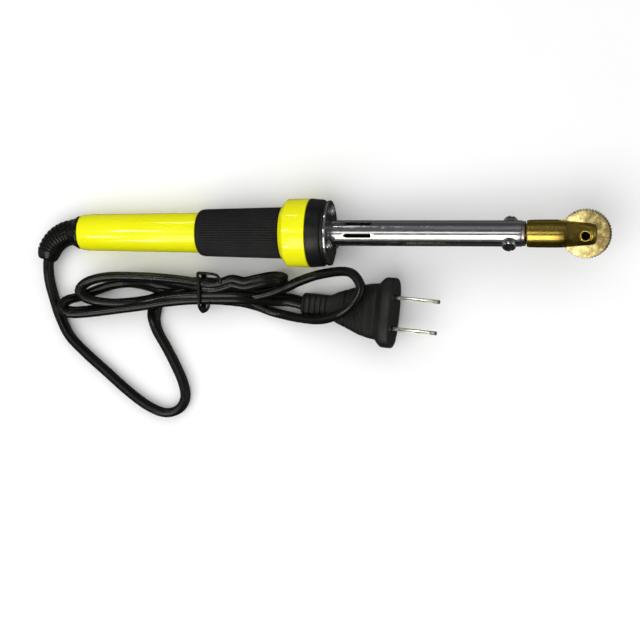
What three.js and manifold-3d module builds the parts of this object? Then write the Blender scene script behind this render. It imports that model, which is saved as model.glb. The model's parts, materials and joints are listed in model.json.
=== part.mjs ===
// An electric spur embedder: a small soldering-iron type heater with a toothed brass wheel, lying on a
// surface with its mains lead tied in a hank beside it. Millimetres, +Z up, the tool's tip towards +X.
import * as THREE from "three";
import { mergeVertices } from "three/addons/utils/BufferGeometryUtils.js";
import Module from "manifold-3d";

const wasm = await Module();
wasm.setup();

// ---- Driving dimensions. "Along" is measured on the tool's axis from the flange's front face. ----
const GAP = 0.3;
const ROUND_SIDES = 28;

const REAR = -107.3;
const REAR_RADIUS = 7.65;
const GRIP_BACK = -55.2;
const COLLAR_BACK = -20.8;
const RING_BACK = -8.2;
const RING_RADIUS = 14.1;
const COLLAR_RADIUS = 13.85;
const FLANGE_RADIUS = 13.3;
const FLANGE_THICKNESS = 1.2;
const FLANGE_SCREW_CIRCLE = 9.1;
const FLANGE_SCREW_SHANK = 1.25;

const BARREL_RADIUS = 5.25;
const BARREL_WALL = 0.5;
const BARREL_BACK = -10;
const BARREL_END = 77.5;
const SLOT_START = 6.5;
const SLOT_END = 17.6;
const SLOT_WIDTH = 1.8;
const SLOT_COUNT = 6;
const SLOT_ROLL = 15.5;

const TIP_SCREW_ALONG = 72.7;
const TIP_SCREW_ROLL = 50;
const TIP_SCREW_SHANK = 1.3;
const SHANK_RADIUS = 3;
const SHANK_TIP_RADIUS = 2.4;

const BRASS_START = 79.4;
const BRASS_RADIUS = 5.55;
const TAPER_START = 92.3;
const FLATS_START = 95;
const FORK_END = 106.4;
const FORK_ROLL = 16;
const FORK_HALF_THICKNESS = 3.5;
const FORK_SLOT_WIDTH = 2.6;

const WHEEL_ALONG = 102.4;
const WHEEL_RADIUS = 10;
const WHEEL_ROOT_RADIUS = 9.4;
const WHEEL_TEETH = 50;
const WHEEL_THICKNESS = 2;
const WHEEL_BORE = 2.08;
const PIN_RADIUS = 2;
const PIN_BORE = 1.6;

const CORD_WIDTH = 6;
const CORD_THICKNESS = 3.8;
const BOOT_STRAIGHT = 3;
const BOOT_BEND_RADIUS = 12;
const BOOT_BEND = THREE.MathUtils.degToRad(72);
const BOOT_LENGTH = 21.6;
const BOOT_BORE = 3.3;
const BOOT_RIBS = 9;

const BLADE_SPACING = 12.7;
const BLADE = { length: 18, width: 6.3, thickness: 1.5, embedded: 7 };

// The tool rests on the collar's edge and on the rear of its handle, so the tip is raised a little.
const REAR_CONTACT = -104;
const COLLAR_CONTACT = COLLAR_BACK + 3.4;
const TILT = Math.atan2(COLLAR_RADIUS - REAR_RADIUS, COLLAR_CONTACT - REAR_CONTACT);
const FLANGE_X = 6.95;
const FLANGE_HEIGHT = COLLAR_RADIUS * Math.cos(TILT) - COLLAR_CONTACT * Math.sin(TILT);

// The lead's route, in the part's own frame. Each stretch starts 0.3 mm clear of what it meets.
const LEAD_ROUTE = [
  [-115.7, -12, 6.3], [-116.3, -15.2, 6.1], [-115.8, -21.5, 4.8], [-113.8, -28.7, 3.5],
  [-110.6, -36.4, 3.1], [-106.3, -44, 3.1], [-99.1, -51.1, 3.1], [-90.2, -58.6, 3.1],
  [-80.8, -66.5, 3.1], [-72, -72.7, 3.1], [-64.1, -75.7, 3.1], [-58.1, -74, 3.1],
  [-55.4, -69.3, 3.1], [-56.3, -63.4, 3.1], [-59.2, -56.7, 3.1], [-63.7, -48.4, 3.1],
  [-67.7, -41.7, 3.1], [-69.4, -36.8, 3.1], [-69.6, -34.5, 3.1],
];
const LOOP_ROUTE = [
  [-10.8, -21.6, 8.2], [-6.3, -19.5, 9], [2.4, -17, 11.2], [13.1, -15.6, 15.4],
  [18.8, -17, 18.1], [22.1, -21.9, 19.3], [20.7, -27.2, 19.4], [16.6, -31.3, 18.7],
  [11.1, -34.8, 16.6], [3.1, -36.7, 12], [-6.5, -35.6, 6], [-14.4, -33.7, 3.3],
];
const PLUG_LEAD_ROUTE = [[-11.6, -27.2, 4.1], [-8.6, -27.9, 4.2], [-5, -28.8, 4.2]];
const HANK_OUTLINE = [
  [-108.1, -32.5], [-106.8, -27.4], [-105.1, -22.3], [-100.8, -18.4], [-94.2, -16.4], [-84.2, -15.6],
  [-66.7, -16.9], [-51.2, -17.2], [-36.2, -16.4], [-23.9, -15.6], [-15.5, -14.6], [-12.6, -16.6],
  [-12.2, -23.2], [-12.2, -29], [-15, -31.4], [-16.2, -34.5], [-24.8, -33.4], [-33.4, -30.4],
  [-49.7, -31.2], [-71.3, -33.7], [-88.8, -36.5], [-99.4, -37.5], [-105.8, -36.8],
];
const HANK_BOTTOM = 1.4;
const HANK_TOP = 12.4;
const TIE_X = -50;

// The plug's own frame has its front face at x = 0 and +X out of that face. Its lead holds its nose up.
const PLUG_POSITION = [33.5, -32.3, 12.3];
const PLUG_YAW = -5;
const PLUG_PITCH = 12;
const PLUG_REAR = -38.6;

// ---- Materials ----
const material = (color, roughness, metalness) =>
  new THREE.MeshStandardMaterial({ color, roughness, metalness });
const YELLOW_PLASTIC = material(0xe8e31c, 0.3, 0);
const BLACK_RUBBER = material(0x1c1c1c, 0.75, 0);
const BLACK_PHENOLIC = material(0x20211f, 0.5, 0);
const BLACK_PVC = material(0x1b1c1a, 0.4, 0);
const CHROMED_STEEL = material(0xc9c9cc, 0.15, 1);
const PLAIN_STEEL = material(0x9c9c98, 0.35, 1);
const BRASS = material(0xb08d3a, 0.3, 1);
const NICKEL = material(0xc8c3b0, 0.25, 1);
const CERAMIC = material(0xe6e2d8, 0.6, 0);
const MICA = material(0xb8a888, 0.6, 0);
const RESISTANCE_WIRE = material(0x77736c, 0.4, 1);

// ---- Helpers ----
const radians = THREE.MathUtils.degToRad;

// A solid of revolution about +X from [along, radius] points, from the low end to the high end.
function turned(outline, sides = ROUND_SIDES) {
  const points = outline.map(([along, radius]) => new THREE.Vector2(radius, along));
  return new THREE.LatheGeometry(points, sides).rotateZ(-Math.PI / 2);
}

// A hollow turned piece: its outer outline, then its inner one back to the start.
function hollow(outer, inner, sides = ROUND_SIDES) {
  return turned([...outer, ...[...inner].reverse(), outer[0]], sides);
}

function rod(from, to, radius, sides = ROUND_SIDES) {
  return turned([[from, 0], [from, radius], [to, radius], [to, 0]], sides);
}

function tube(from, to, outer, inner, sides = ROUND_SIDES) {
  return hollow([[from, outer], [to, outer]], [[from, inner], [to, inner]], sides);
}

function box(from, to) {
  const size = to.map((value, i) => value - from[i]);
  const middle = to.map((value, i) => (value + from[i]) / 2);
  return new THREE.BoxGeometry(...size).translate(...middle);
}

// A three.js geometry as a solid for joining and cutting.
function solid(geometry) {
  const bare = geometry.index ? geometry.toNonIndexed() : geometry.clone();
  bare.deleteAttribute("normal");
  bare.deleteAttribute("uv");
  const merged = mergeVertices(bare, 1e-4);
  return new wasm.Manifold(
    new wasm.Mesh({
      numProp: 3,
      vertProperties: merged.attributes.position.array,
      triVerts: new Uint32Array(merged.index.array),
    }),
  );
}

function geometryOf(body) {
  const mesh = body.getMesh();
  return new THREE.BufferGeometry()
    .setAttribute("position", new THREE.BufferAttribute(new Float32Array(mesh.vertProperties), 3))
    .setIndex(new THREE.BufferAttribute(new Uint32Array(mesh.triVerts), 1));
}

// One piece with the given cutters taken out of it.
function cut(geometry, cutters) {
  return geometryOf(cutters.reduce((body, cutter) => body.subtract(solid(cutter)), solid(geometry)));
}

function piece(name, geometry, surface) {
  const mesh = new THREE.Mesh(geometry, surface);
  mesh.name = name;
  return mesh;
}

function ellipseShape(halfX, halfY) {
  return new THREE.Shape().absellipse(0, 0, halfX, halfY, 0, Math.PI * 2, false, 0);
}

// A solid swept along a route, with an elliptical section. Its first half size lies along the axis that
// the route's start is squarest to, which is Z where it starts out level, and its second half size across.
function swept(route, steps, halfFirst, halfSecond, sides) {
  const path = new THREE.CatmullRomCurve3(route.map((point) => new THREE.Vector3(...point)));
  return new THREE.ExtrudeGeometry(ellipseShape(halfFirst, halfSecond), {
    extrudePath: path,
    steps,
    curveSegments: sides / 2,
    bevelEnabled: false,
  });
}

function roundedRectangle(halfX, halfY, radius, path = new THREE.Shape()) {
  path.absarc(halfX - radius, halfY - radius, radius, 0, Math.PI / 2);
  path.absarc(radius - halfX, halfY - radius, radius, Math.PI / 2, Math.PI);
  path.absarc(radius - halfX, radius - halfY, radius, Math.PI, Math.PI * 1.5);
  path.absarc(halfX - radius, radius - halfY, radius, Math.PI * 1.5, Math.PI * 2);
  path.closePath();
  return path;
}

// ---- The handle ----
function handleShell() {
  const outer = [
    [REAR, 6.4], [REAR + 0.8, 7.2], [REAR_CONTACT, REAR_RADIUS], [GRIP_BACK - GAP, 8.25],
    [GRIP_BACK - GAP, 7.3], [COLLAR_BACK - 0.1, 7.3], [COLLAR_BACK, 11], [COLLAR_CONTACT, COLLAR_RADIUS],
    [RING_BACK - GAP, COLLAR_RADIUS + 0.15],
  ];
  const inner = [
    [REAR, 4.6], [REAR + 2.2, 4.6], [REAR + 2.2, 5.7], [COLLAR_BACK, 5.7], [COLLAR_BACK, 6.4],
    [-13.5, 6.4], [-13.5, 12], [RING_BACK - GAP, 12],
  ];
  return cut(hollow(outer, inner), screwHoles(FLANGE_SCREW_SHANK + GAP));
}

function gripSleeve() {
  const back = GRIP_BACK;
  const front = COLLAR_BACK - 2 * GAP;
  const outer = [
    [back, 8.6], [back + 0.6, 9.3], [back + 2, 9.7], [back + 18, 10.2], [front, 10.55],
  ];
  return hollow(outer, [[back, 7.3 + GAP], [front, 7.3 + GAP]]);
}

// The black insulating ring between the yellow collar and the flange, with a spigot in the collar.
function frontRing() {
  const front = -FLANGE_THICKNESS - GAP;
  const outer = [
    [-13.2, 11.7], [RING_BACK, 11.7], [RING_BACK, RING_RADIUS], [-3.2, 13.6], [-3, 12.7], [front, 12.7],
  ];
  return cut(hollow(outer, [[-13.2, 6], [front, 6]]), screwHoles(FLANGE_SCREW_SHANK + GAP));
}

function screwAngles() {
  return [0, 1, 2].map((i) => radians(90 + 120 * i));
}

// Three bores parallel to the axis, for the flange screws.
function screwHoles(radius) {
  return screwAngles().map((angle) =>
    rod(-19, 1, radius, 10).translate(
      0, FLANGE_SCREW_CIRCLE * Math.sin(angle), FLANGE_SCREW_CIRCLE * Math.cos(angle)));
}

function flangePlate() {
  const outer = [[-FLANGE_THICKNESS, FLANGE_RADIUS], [-0.2, FLANGE_RADIUS], [0, FLANGE_RADIUS - 0.2]];
  const bore = BARREL_RADIUS + GAP;
  const plate = hollow(outer, [[-FLANGE_THICKNESS, bore], [0, bore]]);
  return cut(plate, screwHoles(FLANGE_SCREW_SHANK + GAP));
}

function flangeScrew() {
  const body = turned([
    [-17.5, 0], [-17.5, FLANGE_SCREW_SHANK], [GAP, FLANGE_SCREW_SHANK], [GAP, 2.3], [1.1, 2.2],
    [1.7, 1.5], [1.9, 0],
  ], 16);
  const recess = [box([1.1, -1.5, -0.3], [3, 1.5, 0.3]), box([1.1, -0.3, -1.5], [3, 0.3, 1.5])];
  return cut(body, recess);
}

// ---- The heater ----
function barrelTube() {
  const wall = tube(BARREL_BACK, BARREL_END, BARREL_RADIUS, BARREL_RADIUS - BARREL_WALL);
  return cut(wall, [...barrelSlots(), ...tipScrewHoles()]);
}

function barrelSlots() {
  const half = SLOT_WIDTH / 2;
  const outline = new THREE.Shape();
  outline.absarc(SLOT_END - half, 0, half, -Math.PI / 2, Math.PI / 2);
  outline.absarc(SLOT_START + half, 0, half, Math.PI / 2, Math.PI * 1.5);
  return Array.from({ length: SLOT_COUNT }, (_, i) =>
    new THREE.ExtrudeGeometry(outline, { depth: 8, curveSegments: 3, bevelEnabled: false })
      .rotateX(radians(SLOT_ROLL + (360 / SLOT_COUNT) * i)));
}

function tipScrewHoles() {
  return [0, 180].map((turn) =>
    rod(2, 8, TIP_SCREW_SHANK + GAP, 10)
      .rotateY(-Math.PI / 2)
      .translate(TIP_SCREW_ALONG, 0, 0)
      .rotateX(radians(TIP_SCREW_ROLL + turn)));
}

// The steel bush in the barrel's end, which the brass shank slides into.
function tipBush() {
  const outer = [
    [68, 4.45], [BARREL_END + GAP, 4.45], [BARREL_END + GAP, 4.95], [BARREL_END + 0.9, 4.95],
  ];
  const bore = SHANK_RADIUS + GAP;
  return cut(hollow(outer, [[68, bore], [BARREL_END + 0.9, bore]]), tipScrewHoles());
}

// A cheese-head screw on the tool's +Z side, its slot across the tool.
function tipScrew() {
  const head = BARREL_RADIUS + GAP;
  const body = turned([
    [SHANK_RADIUS + GAP, 0], [SHANK_RADIUS + GAP, TIP_SCREW_SHANK], [head, TIP_SCREW_SHANK],
    [head, 2.85], [head + 1.7, 2.85], [head + 2.1, 2.5], [head + 2.1, 0],
  ], 20);
  const slot = box([head + 1.2, -0.4, -4], [head + 4, 0.4, 4]);
  return cut(body, [slot]).rotateY(-Math.PI / 2);
}

function heaterWinding() {
  const turns = 9;
  const stepsPerTurn = 10;
  const radius = 3.65;
  const route = Array.from({ length: turns * stepsPerTurn + 1 }, (_, i) => {
    const angle = (i / stepsPerTurn) * Math.PI * 2;
    return [24 + (i / stepsPerTurn) * 4.2, radius * Math.cos(angle), radius * Math.sin(angle)];
  });
  return swept(route, turns * stepsPerTurn, 0.25, 0.25, 4);
}

// A heater lead: side is +1 for live, -1 for neutral.
function heaterLead(side) {
  const offset = 1.3 * side;
  return swept([[21, 0, offset], [10, 0, offset], [-8, 0, offset], [-29, 0, offset]], 12, 0.4, 0.4, 6);
}

function leadInsulator() {
  const bores = [1, -1].map((side) => rod(-15, 3, 0.4 + GAP, 8).translate(0, 0, 1.3 * side));
  return cut(rod(-14, 2, 2.8, 16), bores);
}

function crimpSleeve(side) {
  return cut(rod(-37, -28, 1.15, 12), [rod(-31.5, -27, 0.8, 8), rod(-38, -33.5, 0.8, 8)])
    .translate(0, 0, 1.5 * side);
}

// An insulated core from the end of the cord's sheath to its crimp.
function cordCore(side) {
  return swept([[-59.7, 0, 1.4 * side], [-50, 0, 1.4 * side], [-38.2, 0, 1.5 * side]], 4, 1, 1, 8);
}

// ---- The cord's strain relief, bent towards -Y ----
// A piece turned about the axis and lying behind the handle is bent along the boot's centre line.
function bendBoot(geometry) {
  const position = geometry.getAttribute("position");
  for (let i = 0; i < position.count; i++) {
    const along = REAR - position.getX(i) - BOOT_STRAIGHT;
    if (along <= 0) continue;
    const angle = Math.min(along / BOOT_BEND_RADIUS, BOOT_BEND);
    const straight = along - angle * BOOT_BEND_RADIUS;
    const radius = BOOT_BEND_RADIUS + position.getY(i);
    position.setX(i, REAR - BOOT_STRAIGHT - radius * Math.sin(angle) - straight * Math.cos(angle));
    position.setY(i, radius * Math.cos(angle) - BOOT_BEND_RADIUS - straight * Math.sin(angle));
  }
  return geometry;
}

function cordBoot() {
  const cap = [
    [0, 6.4], [-1.2, 6.5], [-2.6, 5.7], [-3.4, 4.7],
  ].map(([along, radius]) => [REAR - GAP + along, radius]);
  const inside = [[REAR + 4.4, 5.3], [REAR + 2.5, 5.3], [REAR + 2.5, 4.3], [REAR - GAP, 4.3]];
  const ribs = [];
  for (let i = 0; i < BOOT_RIBS; i++) {
    const start = REAR - 3.9 - i * 1.65;
    const radius = 5.1 - 0.05 * i;
    ribs.push([start, radius - 0.4], [start - 0.8, radius]);
  }
  const end = [[REAR - 18.8, 4.5], [REAR - 20.6, 4.1], [REAR - BOOT_LENGTH, 3.6]];
  const outer = [...inside, ...cap, ...ribs, ...end].reverse();
  const bore = [REAR - BOOT_LENGTH, -18, -14, -10, -6, -3, 4.4].map(
    (along, i) => [i ? REAR + along : along, BOOT_BORE]);
  return bendBoot(hollow(outer, bore, 14));
}

// The end of the cord's sheath inside the boot and the handle.
function cordTail() {
  const stations = [-BOOT_LENGTH + GAP, -18, -15, -12, -9, -6, -3, 20, -59.9 - REAR];
  const outline = [[REAR + stations[0], 0], ...stations.map((along) => [REAR + along, 1]),
    [REAR + stations[stations.length - 1], 0]];
  return bendBoot(turned(outline, 10).scale(1, CORD_THICKNESS / 2, CORD_WIDTH / 2 - 0.1));
}

// ---- The brass tip ----
function tipFork() {
  const outer = turned([
    [45, 0], [45, SHANK_TIP_RADIUS], [66, SHANK_TIP_RADIUS], [66, SHANK_RADIUS], [BRASS_START, SHANK_RADIUS],
    [BRASS_START, BRASS_RADIUS - 0.4], [BRASS_START + 0.6, BRASS_RADIUS - 0.1], [86, BRASS_RADIUS],
    [TAPER_START, BRASS_RADIUS], [FORK_END - 1.6, 4.5], [FORK_END - 0.4, 4], [FORK_END, 3.2], [FORK_END, 0],
  ]);
  const half = FORK_SLOT_WIDTH / 2;
  const wheelSlot = box([WHEEL_ALONG - WHEEL_RADIUS - 0.6, -9, -half], [FORK_END + 5, 9, half]);
  const flats = [1, -1].map((side) => box(
    [FLATS_START, -9, side > 0 ? FORK_HALF_THICKNESS : -9],
    [FORK_END + 5, 9, side > 0 ? 9 : -FORK_HALF_THICKNESS]));
  const pinHole = upright(rod(-9, 9, PIN_RADIUS + 0.08, 24));
  return cut(outer, [wheelSlot, ...flats, pinHole]);
}

// A piece turned about +X, stood on the pin's axis through the wheel's centre.
function upright(geometry) {
  return geometry.rotateY(-Math.PI / 2).translate(WHEEL_ALONG, 0, 0);
}

// A semi-tubular rivet: a domed head below, a blind bore and a rolled rim above.
function wheelPin() {
  const rim = FORK_HALF_THICKNESS + 0.1;
  return upright(turned([
    [-rim - 0.8, 0], [-rim - 0.7, 1.4], [-rim - 0.3, 2.3], [-rim, 2.4], [-rim, PIN_RADIUS],
    [rim, PIN_RADIUS], [rim, 2.3], [rim + 0.25, 2.4], [rim + 0.5, 2.2], [rim + 0.5, PIN_BORE],
    [-1, PIN_BORE], [-1, 0],
  ], 24));
}

function embeddingWheel() {
  const outline = new THREE.Shape();
  for (let i = 0; i < WHEEL_TEETH * 2; i++) {
    const radius = i % 2 ? WHEEL_RADIUS : WHEEL_ROOT_RADIUS;
    const angle = (i / (WHEEL_TEETH * 2)) * Math.PI * 2;
    const place = [radius * Math.cos(angle), radius * Math.sin(angle)];
    if (i) outline.lineTo(...place);
    else outline.moveTo(...place);
  }
  outline.closePath();
  outline.holes.push(new THREE.Path().absarc(0, 0, WHEEL_BORE, 0, Math.PI * 2, true));
  return new THREE.ExtrudeGeometry(outline, {
    depth: WHEEL_THICKNESS, curveSegments: 32, bevelEnabled: false,
  }).translate(WHEEL_ALONG, 0, -WHEEL_THICKNESS / 2);
}

// ---- The cord, its hank and its plug ----
// The flat cord stands on its edge, so its width is upright.
function cordTube(route, steps) {
  return swept(route, steps, CORD_WIDTH / 2, CORD_THICKNESS / 2, 8);
}

function cordHank() {
  const outline = new THREE.CatmullRomCurve3(
    HANK_OUTLINE.map(([x, y]) => new THREE.Vector3(x, y, 0)), true, "centripetal");
  const corners = outline.getPoints(46).slice(0, -1);
  const shape = new THREE.Shape(corners.map(({ x, y }) => new THREE.Vector2(x, y)));
  return new THREE.ExtrudeGeometry(shape, { depth: HANK_TOP - HANK_BOTTOM, bevelEnabled: false })
    .translate(0, 0, HANK_BOTTOM);
}

// A thin tie wound once round the bundle.
function cordTie() {
  const ring = roundedRectangle(8.8, 6.85, 1.6);
  ring.holes.push(roundedRectangle(7.8, 5.85, 0.6, new THREE.Path()));
  return new THREE.ExtrudeGeometry(ring, { depth: 1.1, curveSegments: 4, bevelEnabled: false })
    .rotateX(Math.PI / 2)
    .rotateZ(Math.PI / 2)
    .translate(TIE_X, -24.1, (HANK_TOP + HANK_BOTTOM) / 2 + 0.05);
}

function plugTopOutline() {
  const side = [
    [PLUG_REAR, 4.4], [-37.6, 4.9], [-28, 4.8], [-26, 5.6], [-24, 6.6], [-15, 10], [-8, 11.5],
    [-5.6, 13.4], [-4, 14.4], [-0.6, 14.4], [0, 13.8],
  ];
  const mirrored = [...side].reverse().map(([x, y]) => [x, -y]);
  return new THREE.Shape([...side, ...mirrored].map((point) => new THREE.Vector2(...point)).reverse());
}

function plugSideOutline() {
  const side = [
    [PLUG_REAR - 1, 3.7], [-37.6, 4], [-28, 4.1], [-24, 4.8], [-15, 5.6], [-7, 6],
    [-4, 7.1], [-0.6, 7.2], [1, 7],
  ];
  const mirrored = [...side].reverse().map(([x, z]) => [x, -z]);
  return new THREE.Shape([...side, ...mirrored].map((point) => new THREE.Vector2(...point)).reverse());
}

// The plug's body is its outline from above crossed with its outline from the side.
function plugBody() {
  const fromAbove = new THREE.ExtrudeGeometry(plugTopOutline(), { depth: 20, bevelEnabled: false })
    .translate(0, 0, -10);
  const fromSide = new THREE.ExtrudeGeometry(plugSideOutline(), { depth: 40, bevelEnabled: false })
    .translate(0, 0, -20)
    .rotateX(Math.PI / 2);
  const body = geometryOf(solid(fromAbove).intersect(solid(fromSide)));
  const half = [BLADE.thickness / 2 + GAP, BLADE.width / 2 + GAP];
  const pockets = [1, -1].map((side) => {
    const y = (side * BLADE_SPACING) / 2;
    return box([-BLADE.embedded - GAP, y - half[0], -half[1]], [2, y + half[0], half[1]]);
  });
  const grooves = [0, 1, 2, 3, 4].flatMap((i) => [1, -1].map((side) => {
    const x = -37.5 + i * 2.15;
    const z = side > 0 ? [3.3, 9] : [-9, -3.3];
    return box([x, -9, z[0]], [x + 0.9, 9, z[1]]);
  }));
  return cut(body, [...pockets, ...grooves]);
}

function plugBlade(side) {
  const y = (side * BLADE_SPACING) / 2;
  const outline = new THREE.Shape();
  const half = BLADE.width / 2;
  outline.moveTo(-BLADE.embedded, -half);
  outline.lineTo(BLADE.length - 1.5, -half);
  outline.lineTo(BLADE.length, 1.2 - half);
  outline.lineTo(BLADE.length, half - 1.2);
  outline.lineTo(BLADE.length - 1.5, half);
  outline.lineTo(-BLADE.embedded, half);
  outline.closePath();
  outline.holes.push(new THREE.Path().absarc(BLADE.length - 3.8, 0, 1.4, 0, Math.PI * 2, true));
  return new THREE.ExtrudeGeometry(outline, {
    depth: BLADE.thickness, curveSegments: 12, bevelEnabled: false,
  }).rotateX(Math.PI / 2).translate(0, y + BLADE.thickness / 2, 0);
}

// ---- Assembly ----
function wheelAndFork() {
  const fork = new THREE.Group();
  fork.rotation.x = radians(FORK_ROLL);
  fork.add(
    piece("tip_fork", tipFork(), BRASS),
    piece("wheel_pin", wheelPin(), BRASS),
    piece("embedding_wheel", embeddingWheel(), BRASS),
  );
  return fork;
}

function heater() {
  const group = new THREE.Group();
  group.add(
    piece("barrel_tube", barrelTube(), CHROMED_STEEL),
    piece("tip_bush", tipBush(), PLAIN_STEEL),
    piece("heater_former", tube(20, 65.5, 3.1, 2.7, 20), CERAMIC),
    piece("heater_winding", heaterWinding(), RESISTANCE_WIRE),
    piece("heater_sleeve", tube(20, 67, 4.45, 4.2, 20), MICA),
    piece("lead_insulator", leadInsulator(), CERAMIC),
  );
  [["live", 1], ["neutral", -1]].forEach(([wire, side]) => {
    group.add(
      piece(`heater_lead_${wire}`, heaterLead(side), RESISTANCE_WIRE),
      piece(`crimp_sleeve_${wire}`, crimpSleeve(side), NICKEL),
      piece(`cord_core_${wire}`, cordCore(side), BLACK_PVC),
    );
  });
  [["lower", 0], ["upper", 180]].forEach(([place, turn]) => {
    const screw = piece(`tip_screw_${place}`, tipScrew(), CHROMED_STEEL);
    const holder = new THREE.Group();
    holder.rotation.x = radians(TIP_SCREW_ROLL + turn);
    screw.position.x = TIP_SCREW_ALONG;
    holder.add(screw);
    group.add(holder);
  });
  return group;
}

function handle() {
  const group = new THREE.Group();
  group.add(
    piece("handle_shell", handleShell(), YELLOW_PLASTIC),
    piece("grip_sleeve", gripSleeve(), BLACK_RUBBER),
    piece("front_ring", frontRing(), BLACK_PHENOLIC),
    piece("flange_plate", flangePlate(), CHROMED_STEEL),
    piece("cord_boot", cordBoot(), BLACK_PVC),
    piece("cord_tail", cordTail(), BLACK_PVC),
  );
  screwAngles().forEach((angle, i) => {
    const screw = piece(`flange_screw_${i + 1}`, flangeScrew(), CHROMED_STEEL);
    screw.position.set(0, FLANGE_SCREW_CIRCLE * Math.sin(angle), FLANGE_SCREW_CIRCLE * Math.cos(angle));
    group.add(screw);
  });
  return group;
}

function plug() {
  const group = new THREE.Group();
  group.position.set(...PLUG_POSITION);
  group.rotation.set(0, radians(-PLUG_PITCH), radians(PLUG_YAW), "ZYX");
  group.add(
    piece("plug_body", plugBody(), BLACK_PVC),
    piece("plug_blade_upper", plugBlade(1), NICKEL),
    piece("plug_blade_lower", plugBlade(-1), NICKEL),
  );
  return group;
}

function cord() {
  const group = new THREE.Group();
  group.add(
    piece("cord_lead", cordTube(LEAD_ROUTE, 40), BLACK_PVC),
    piece("cord_hank", cordHank(), BLACK_PVC),
    piece("cord_tie", cordTie(), BLACK_PVC),
    piece("cord_loop", cordTube(LOOP_ROUTE, 24), BLACK_PVC),
    piece("cord_plug_lead", cordTube(PLUG_LEAD_ROUTE, 3), BLACK_PVC),
    plug(),
  );
  return group;
}

const embedder = new THREE.Group();
const tool = new THREE.Group();
tool.position.set(FLANGE_X, 0, FLANGE_HEIGHT);
tool.rotation.y = -TILT;
tool.add(handle(), heater(), wheelAndFork());
embedder.add(tool, cord());

export default embedder;
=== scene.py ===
"""The looks of an electric spur embedder, a heated brass wheel for setting hive wire into wax.

The tool lies on a pale floor with its flat mains lead tied in a hank beside it. Each turned, cut or
lofted piece is built in millimetres in its own frame and put in place by add_mesh().
"""

import json
import math

import bmesh
import bpy
from mathutils import Matrix, Vector


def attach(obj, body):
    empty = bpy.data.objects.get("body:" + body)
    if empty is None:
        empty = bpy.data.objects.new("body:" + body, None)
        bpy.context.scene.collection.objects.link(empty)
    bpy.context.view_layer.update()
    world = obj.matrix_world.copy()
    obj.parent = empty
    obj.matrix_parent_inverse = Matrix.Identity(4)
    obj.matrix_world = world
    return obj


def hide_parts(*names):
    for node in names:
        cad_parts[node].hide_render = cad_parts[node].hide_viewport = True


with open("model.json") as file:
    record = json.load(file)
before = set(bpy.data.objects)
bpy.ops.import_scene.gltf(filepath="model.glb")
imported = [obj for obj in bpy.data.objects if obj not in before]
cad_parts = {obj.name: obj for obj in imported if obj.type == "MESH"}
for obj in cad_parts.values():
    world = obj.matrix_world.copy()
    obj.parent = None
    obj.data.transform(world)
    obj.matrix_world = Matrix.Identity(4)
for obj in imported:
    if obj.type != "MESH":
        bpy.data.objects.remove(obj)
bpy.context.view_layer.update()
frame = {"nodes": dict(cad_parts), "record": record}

MM = 0.001
TURN = 2 * math.pi

# ---- The tool's sizes in millimetres; places are along its axis from the flange's front face ----
REAR = -107.8
GRIP_BACK = -55.2
COLLAR_BACK = -19.7
COLLAR_EDGE = -17.3
RING_BACK = -7.9
FLANGE_SCREW_CIRCLE = 9.1
FLANGE_SCREW_ROLL = 84
FLANGE_FACE = 0.3
BARREL_RADIUS = 5.2
BARREL_BACK = -10
BARREL_END = 77.5
SLOT_START = 6.5
SLOT_END = 17.6
SLOT_WIDTH = 1.8
SLOT_COUNT = 6
SLOT_ROLL = math.radians(15.5)
TIP_SCREW_ALONG = 72.7
TIP_SCREW_ROLL = math.radians(50)
BRASS_START = 79.4
FACETS_START = 95
FORK_END = 106.4
FORK_ROLL = math.radians(16)
ROOF_HEIGHT = 4.2
ROOF_SLOPE = math.tan(math.radians(28))
ROOF_SOFTNESS = 3.0
WHEEL_ALONG = 102.4
WHEEL_TEETH = 50
TOOTH_ROOT = 9.1
TOOTH_DEPTH = 0.62
WHEEL_SLOT_BACK = 91.8
WHEEL_SLOT_HALF_WIDTH = 1.3
PIN_HOLE_RADIUS = 2.08
GRIP_RIBS = 58
GRIP_RIB_DEPTH = 0.34
BOOT_BEND_RADIUS = 12
BOOT_BEND = math.radians(72)
BOOT_STRAIGHT = 3
BOOT_LENGTH = 21.6
BOOT_RIBS = 9
BLADE_SPACING = 12.7
BLADE_HALF_THICKNESS = 0.75
BLADE_HOLE_ALONG = 14.2
BLADE_HOLE_RADIUS = 1.4
# A solid turned piece keeps a hole this small on its axis, so that its outline is a closed ring.
AXIS_HOLE = 0.02
# How much the wheel's painted shade grows per metre along x, y and z: it darkens the wheel towards its +X
# side.
PAINTED_SHADE_SLOPE = (14, 3, 0)

# ---- The lead's route: x, y and z in metres on the floor, and lean in degrees ----
# The flat lead stands on its edge at a lean of 0 and lies flat at 90.
LEAD_ROUTE = [
    (-0.1146, -0.0097, 0.0064, 0), (-0.1151, -0.0120, 0.0063, 0), (-0.1153, -0.0155, 0.0060, 0),
    (-0.1148, -0.0215, 0.0048, 0), (-0.1131, -0.0287, 0.0035, 0), (-0.1104, -0.0364, 0.0031, 0),
    (-0.1063, -0.0440, 0.0031, 0), (-0.0991, -0.0511, 0.0031, 0), (-0.0902, -0.0586, 0.0031, 0),
    (-0.0808, -0.0665, 0.0031, 0), (-0.0720, -0.0727, 0.0031, 0), (-0.0641, -0.0757, 0.0031, 0),
    (-0.0581, -0.0740, 0.0031, 0), (-0.0554, -0.0693, 0.0031, 0), (-0.0563, -0.0634, 0.0031, 0),
    (-0.0592, -0.0567, 0.0031, 0), (-0.0637, -0.0484, 0.0031, 0), (-0.0677, -0.0417, 0.0031, 5),
    (-0.0694, -0.0368, 0.0030, 25), (-0.0696, -0.0340, 0.0027, 55),
]
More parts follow.
